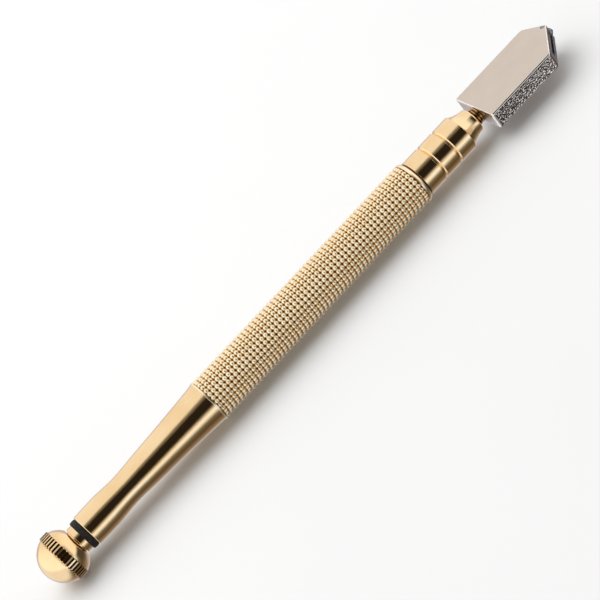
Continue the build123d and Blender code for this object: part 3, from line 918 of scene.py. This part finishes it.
def build_grip():
    """The sleeve with its straight knurl: lengthwise and ringwise grooves that leave
    rounded beads, between a plain ring and a rounded collar."""
    low, high = box_of("grip_sleeve")
    crest = high.y
    beads_back = low.x + BACK_RING
    beads_front = high.x - COLLAR_LENGTH
    pitch = (beads_front - beads_back) / KNURL_RINGS
    beads = stations(beads_back, beads_front, KNURL_RINGS * RING_STEPS)
    collar = arc((beads_front + 0.05, crest - 0.05), (high.x - 0.35, 5.55), (high.x, 5.2), 12)
    outline = [
        (low.x, CORE_RADIUS, 0),
        (low.x, crest, 0.1),
        (beads_back - 0.05, crest, 0),
        *[(x, crest, 0) for x in beads],
        *collar,
        (high.x, CORE_RADIUS, 0),
    ]

    def bead(x, radius, angle):
        if radius < crest - 1e-6 or not beads_back - 1e-6 <= x <= beads_front + 1e-6:
            return radius
        rows = (x - beads_back) / pitch
        columns = angle * KNURL_COLUMNS / TURN
        row = math.sin(math.pi * abs(rows - round(rows)))
        column = math.sin(math.pi * abs(columns - round(columns)))
        height = RING_SHARE * row + (1 - RING_SHARE) * column
        cell = Vector((math.floor(rows), math.floor(columns) % KNURL_COLUMNS, 0.5))
        dent = BEAD_DENT * abs(noise.noise(cell * DENT_SPREAD))
        return radius - KNURL_DEPTH * (1 - height * (1 - dent))

    piece = lathe("grip_knurl", softened(outline), KNURL_COLUMNS * COLUMN_STEPS, bead)
    material = knurled_brass((crest - KNURL_DEPTH) * MM, (crest - 0.08) * MM)
    stands_for(piece, "grip_sleeve", "handle", "knurled_brass", material)


build_grip()


# ---------------------------------------------------------------- nose

BAND_LENGTHS = (5.4, 5.2, 4.9)
GROOVE_WIDTH = 0.9
GROOVE_DEPTH = 0.42
TIP_RADIUS = 3.42
STEM_BORE = 2.40
CAVITY_RADIUS = 3.3
MOUTH_COUNTERSINK = 3.0
COUNTERSINK_LENGTH = 0.9
# Faces this far back from the tip, inside the countersink, get painted shade.
MOUTH_SHADE_REACH = 1.5
CAVITY_FRONT = 7.0
KEYWAY_WIDTH = 1.06
KEYWAY_REACH = 3.89
KEYWAY_PLAY = 0.1


def build_nose():
    """The nose: three bands with V grooves between them, a hollow-cheeked cone, and inside
    it a stepped bore with a keyway. Its countersunk mouth gets painted shade."""
    low, high = box_of("nose_ferrule")
    seam = box_of("nose_gasket")[1].x
    radius = high.y
    cone = seam + sum(BAND_LENGTHS)
    grooves = []
    for centre in (seam + BAND_LENGTHS[0], seam + BAND_LENGTHS[0] + BAND_LENGTHS[1]):
        grooves.append((centre - GROOVE_WIDTH / 2, radius, 0.08))
        grooves.append((centre, radius - GROOVE_DEPTH, 0.05))
        grooves.append((centre + GROOVE_WIDTH / 2, radius, 0.08))
    cheeks = arc((cone + 0.25, radius - 0.25), (cone + 1.75, 4.03), (high.x - 0.2, TIP_RADIUS), 24)
    shoulder = high.x - CAVITY_FRONT
    outline = [
        (low.x, CAVITY_RADIUS, 0),
        (low.x, SPIGOT_RADIUS, 0.1),
        (seam, SPIGOT_RADIUS, 0),
        (seam, radius, 0.1),
        *grooves,
        (cone, radius, 0.08),
        *cheeks,
        (high.x, TIP_RADIUS - 0.15, 0.06),
        (high.x, MOUTH_COUNTERSINK, 0.05),
        (high.x - COUNTERSINK_LENGTH, STEM_BORE, 0.05),
        (shoulder, STEM_BORE, 0),
        (shoulder, CAVITY_RADIUS, 0),
    ]
    piece = lathe("nose_turning", softened(outline), SEGMENTS)
    for material in (POLISHED, SHADE_BRASS):
        piece.data.materials.append(material)
    keyway_front = box_of("limit_pin")[1].x + KEYWAY_PLAY
    keyway_low = Vector((low.x - 1.0, -KEYWAY_WIDTH / 2, 0.0))
    keyway_high = Vector((keyway_front, KEYWAY_WIDTH / 2, KEYWAY_REACH))
    cut(piece, block("keyway", keyway_low, keyway_high))
    # Faces inside the countersunk mouth take the near-black painted shade.
    for face in piece.data.polygons:
        middle = face.center / MM
        if middle.x > high.x - MOUTH_SHADE_REACH and math.hypot(middle.y, middle.z) < MOUTH_COUNTERSINK:
            face.material_index = 1
    stands_for(piece, "nose_ferrule", "handle", "polished_brass")


build_nose()


# ---------------------------------------------------------------- head

HEAD_LENGTH = 27.6
HEAD_WIDTH = 15.8
HEAD_THICKNESS = 4.8
NEAR_SHOULDER = 20.7
FAR_SHOULDER = 23.8
APEX_OFFSET = 1.6
# The broken edge's facets, from the narrow face to the wide one: tilt and breadth.
EDGE_FACETS = ((10, 0.24), (35, 0.22), (65, 0.10))
GRAIN_STEP = 0.11
GRAIN_SIZE = 0.34
GRAIN_HEIGHT = 0.10
GRAIN_FADE = 0.3
# The finer grain's size against the coarse one's, its height, and where its noise is read.
FINE_GRAIN = 2.1
FINE_HEIGHT = 0.5
FINE_SHIFT = Vector((7.0, 3.0, 1.0))
ROUNDING_STEP = 0.15
SLOT_WIDTH = 1.25
SAW_RADIUS = 11.5
SAW_BEYOND = 5.0
SAW_ASIDE = 3.0
AXLE_HOLE_RADIUS = 0.42
RECESS_RADIUS = 0.6
RECESS_DEPTH = 0.45
SOCKET_RADIUS = 1.72
PASSAGE_RADIUS = 0.92
PASSAGE_OVERLAP = 0.3


def rounded(before, corner, after, rounding):
    """A corner's rounding as its start, its end, and points with an outward direction.
    before and after are directions from the corner along the two walls."""
    half = before.angle(after) / 2
    reach = rounding / math.tan(half)
    centre = corner + (before + after).normalized() * rounding / math.sin(half)
    start = corner + before * reach - centre
    end = corner + after * reach - centre
    sweep = start.angle(end)
    steps = max(4, round(sweep / ROUNDING_STEP))
    points = []
    for step in range(steps + 1):
        share = step / steps
        out = (math.sin((1 - share) * sweep) * start + math.sin(share * sweep) * end) / math.sin(sweep)
        points.append((centre + out, out.normalized(), "edge"))
    return corner + before * reach, corner + after * reach, points


def head_outline(base):
    """The head's plan as points with an outward direction and the wall each lies on. Each
    corner has its rounding and the kind of wall that follows it."""
    corners = (
        (Vector((base, -HEAD_WIDTH / 2)), 0.7, "narrow"),
        (Vector((base + NEAR_SHOULDER, -HEAD_WIDTH / 2)), 0.8, "gable"),
        (Vector((base + HEAD_LENGTH, APEX_OFFSET)), 0.45, "gable"),
        (Vector((base + FAR_SHOULDER, HEAD_WIDTH / 2)), 1.8, "narrow"),
        (Vector((base, HEAD_WIDTH / 2)), 0.5, "base"),
    )
    count = len(corners)
    roundings = []
    for index, (corner, rounding) in enumerate([place[:2] for place in corners]):
        before = (corners[index - 1][0] - corner).normalized()
        after = (corners[(index + 1) % count][0] - corner).normalized()
        roundings.append(rounded(before, corner, after, rounding))
    points = []
    for index, wall in enumerate([place[2] for place in corners]):
        first, arc_points = roundings[index][1:]
        points += arc_points
        last = roundings[(index + 1) % count][0]
        along = (last - first).normalized()
        pieces = round((last - first).length / GRAIN_STEP)
        for step in range(1, pieces):
            points.append((first + (last - first) * step / pieces, Vector((along.y, -along.x)), wall))
    return points


def grain(place):
    """Height of the cast grain at a place in millimetres, from about -1 to 1."""
    spot = place / GRAIN_SIZE
    return noise.noise(spot) + FINE_HEIGHT * noise.noise(spot * FINE_GRAIN + FINE_SHIFT)


def head_levels():
    """The head's rings from bottom to top: height, inset, and whether grain covers it."""
    top = [(HEAD_THICKNESS / 2, 0.0)]
    for tilt, breadth in reversed(EDGE_FACETS):
        z, inset = top[-1]
        tilted = math.radians(tilt)
        top.append((z - breadth * math.cos(tilted), inset - breadth * math.sin(tilted)))
    bottom, deepest = top[-1]
    top = [(z, inset - deepest, False) for z, inset in reversed(top)]
    rows = round(2 * bottom / GRAIN_STEP)
    walls = [(-bottom + 2 * bottom * row / rows, 0.0, True) for row in range(1, rows)]
    return [(-z, inset, grainy) for z, inset, grainy in reversed(top)] + walls + top


def head_blank(base):
    """The head before it is cut, with each face's material by the wall it lies on."""
    outline = head_outline(base)
    levels = head_levels()
    wall_top = max(z for z, inset, grainy in levels if inset == 0.0)
    made = bmesh.new()
    rings = []
    for z, inset, grainy in levels:
        ring = []
        for place, out, wall in outline:
            spot = place - out * inset
            if grainy and wall == "narrow":
                fade = smoothstep(wall_top - abs(z), 0.0, GRAIN_FADE)
                lift = GRAIN_HEIGHT * grain(Vector((spot.x, spot.y, z))) * fade
                spot = spot + out * min(lift - 0.5 * GRAIN_HEIGHT, 0.0)
            ring.append(made.verts.new((spot.x * MM, spot.y * MM, z * MM)))
        rings.append(ring)
    slots = {"base": 0, "narrow": 1, "gable": 2, "edge": 3}
    count = len(outline)
    for level, (lower, upper) in enumerate(zip(rings, rings[1:])):
        flat = levels[level][2] or levels[level + 1][2]
        for index in range(count):
            other = (index + 1) % count
            face = made.faces.new((lower[index], lower[other], upper[other], upper[index]))
            walls_here = {outline[index][2], outline[other][2]} - {"edge"}
            wall = walls_here.pop() if flat and walls_here else "edge"
            face.material_index = slots[wall]
    made.faces.new(list(reversed(rings[0])))
    made.faces.new(rings[-1])
    bmesh.ops.recalc_face_normals(made, faces=made.faces)
    piece = finish_mesh("head_casting", made)
    # The gables take painted shade, the edges a painted highlight, and the narrow faces painted light in
    # their grain.
    for material in (SATIN, CAST, SHADED_GROUND, EDGE_HIGHLIGHT_NICKEL):
        piece.data.materials.append(material)
    return piece


def build_head():
    """The head: satin wide faces, rounded edges, grainy narrow faces, ground gables with
    a saw slot, and holes for the stem and the axle."""
    base = box_of("head_block")[0].x
    axle_low, axle_high = box_of("wheel_axle")
    axle = (axle_low + axle_high) / 2
    stem_front = box_of("head_stem")[1].x
    saw = Vector((base + HEAD_LENGTH + SAW_BEYOND, APEX_OFFSET - SAW_ASIDE, 0))
    passage_end = saw.x - SAW_RADIUS + PASSAGE_OVERLAP
    piece = head_blank(base)
    # The saw slot and the axle's hole and recesses take the oil and painted shade material on their cut
    # faces.
    cut(piece, disc("saw_slot", saw, SAW_RADIUS, SLOT_WIDTH, 160, OIL_AND_SHADE))
    hole = Vector((axle.x, axle.y, 0))
    cut(piece, disc("axle_hole", hole, AXLE_HOLE_RADIUS, 2 * HEAD_THICKNESS, 32, OIL_AND_SHADE))
    for side in (-HEAD_THICKNESS / 2, HEAD_THICKNESS / 2):
        recess = Vector((axle.x, axle.y, side))
        cut(piece, disc("axle_recess", recess, RECESS_RADIUS, 2 * RECESS_DEPTH, 32, OIL_AND_SHADE))
    socket = (
        (base - 1, 0, 0),
        (base - 1, SOCKET_RADIUS, 0),
        (stem_front, SOCKET_RADIUS, 0),
        (stem_front, PASSAGE_RADIUS, 0),
        (passage_end, PASSAGE_RADIUS, 0),
        (passage_end, 0, 0),
    )
    cut(piece, lathe("stem_socket", softened(socket), 48))
    stands_for(piece, "head_block", "head", "nickel_plate")


SATIN = satin_nickel()
HEAD_BACK = box_of("head_block")[0].x
CAST = cast_nickel(HEAD_BACK * MM, (HEAD_BACK + NEAR_SHOULDER) * MM)
SHADED_GROUND = shaded_ground_nickel()
EDGE_HIGHLIGHT_NICKEL = highlight_and_wear_nickel()
OIL_AND_SHADE = oil_and_shade_nickel()
build_head()


# ---------------------------------------------------------------- nodes that stay

STEM_ROOT = 1.98
STEM_CREST = 2.33
STAYING = {
    "head_stem": stem_brass(STEM_ROOT * MM, STEM_CREST * MM),
    "nose_gasket": RUBBER,
    "stem_o_ring": RUBBER,
    "thrust_washer": white_nylon(),
    "wick": cotton_wick(),
    "cutting_wheel": ground_steel(
        "carbide", (0.30, 0.31, 0.34, 1), (0.14, 0.14, 0.16, 1), (3000, 3000, 16000),
    ),
    "valve_ball": ground_steel(
        "bright_steel", (0.75, 0.75, 0.77, 1), (0.6, 0.6, 0.62, 1), (2000, 2000, 2000),
    ),
}
STEEL = ground_steel("steel_pin", (0.5, 0.5, 0.51, 1), (0.22, 0.21, 0.2, 1), (9000, 9000, 900))
PLAIN_BRASS = turned_brass()
SPRING = ground_steel("spring_steel", (0.55, 0.55, 0.57, 1), (0.3, 0.3, 0.31, 1), (3000, 3000, 3000))
for name in ("wheel_axle", "limit_pin", "push_rod"):
    STAYING[name] = STEEL
for name in ("spring_cup", "valve_seat", "ball_cage"):
    STAYING[name] = PLAIN_BRASS
for name, material in STAYING.items():
    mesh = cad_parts[name].data
    mesh.materials.clear()
    mesh.materials.append(material)


def build_spring(node):
    """A coil in a spring node's place, copied from its mesh onto the handle."""
    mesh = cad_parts[node].data.copy()
    mesh.materials.clear()
    piece = bpy.data.objects.new(node + "_coil", mesh)
    bpy.context.scene.collection.objects.link(piece)
    stands_for(piece, node, "handle", "spring_steel", SPRING)
    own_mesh(piece)


build_spring("return_spring")
build_spring("ball_spring")

bpy.context.scene.view_settings.view_transform = "Standard"
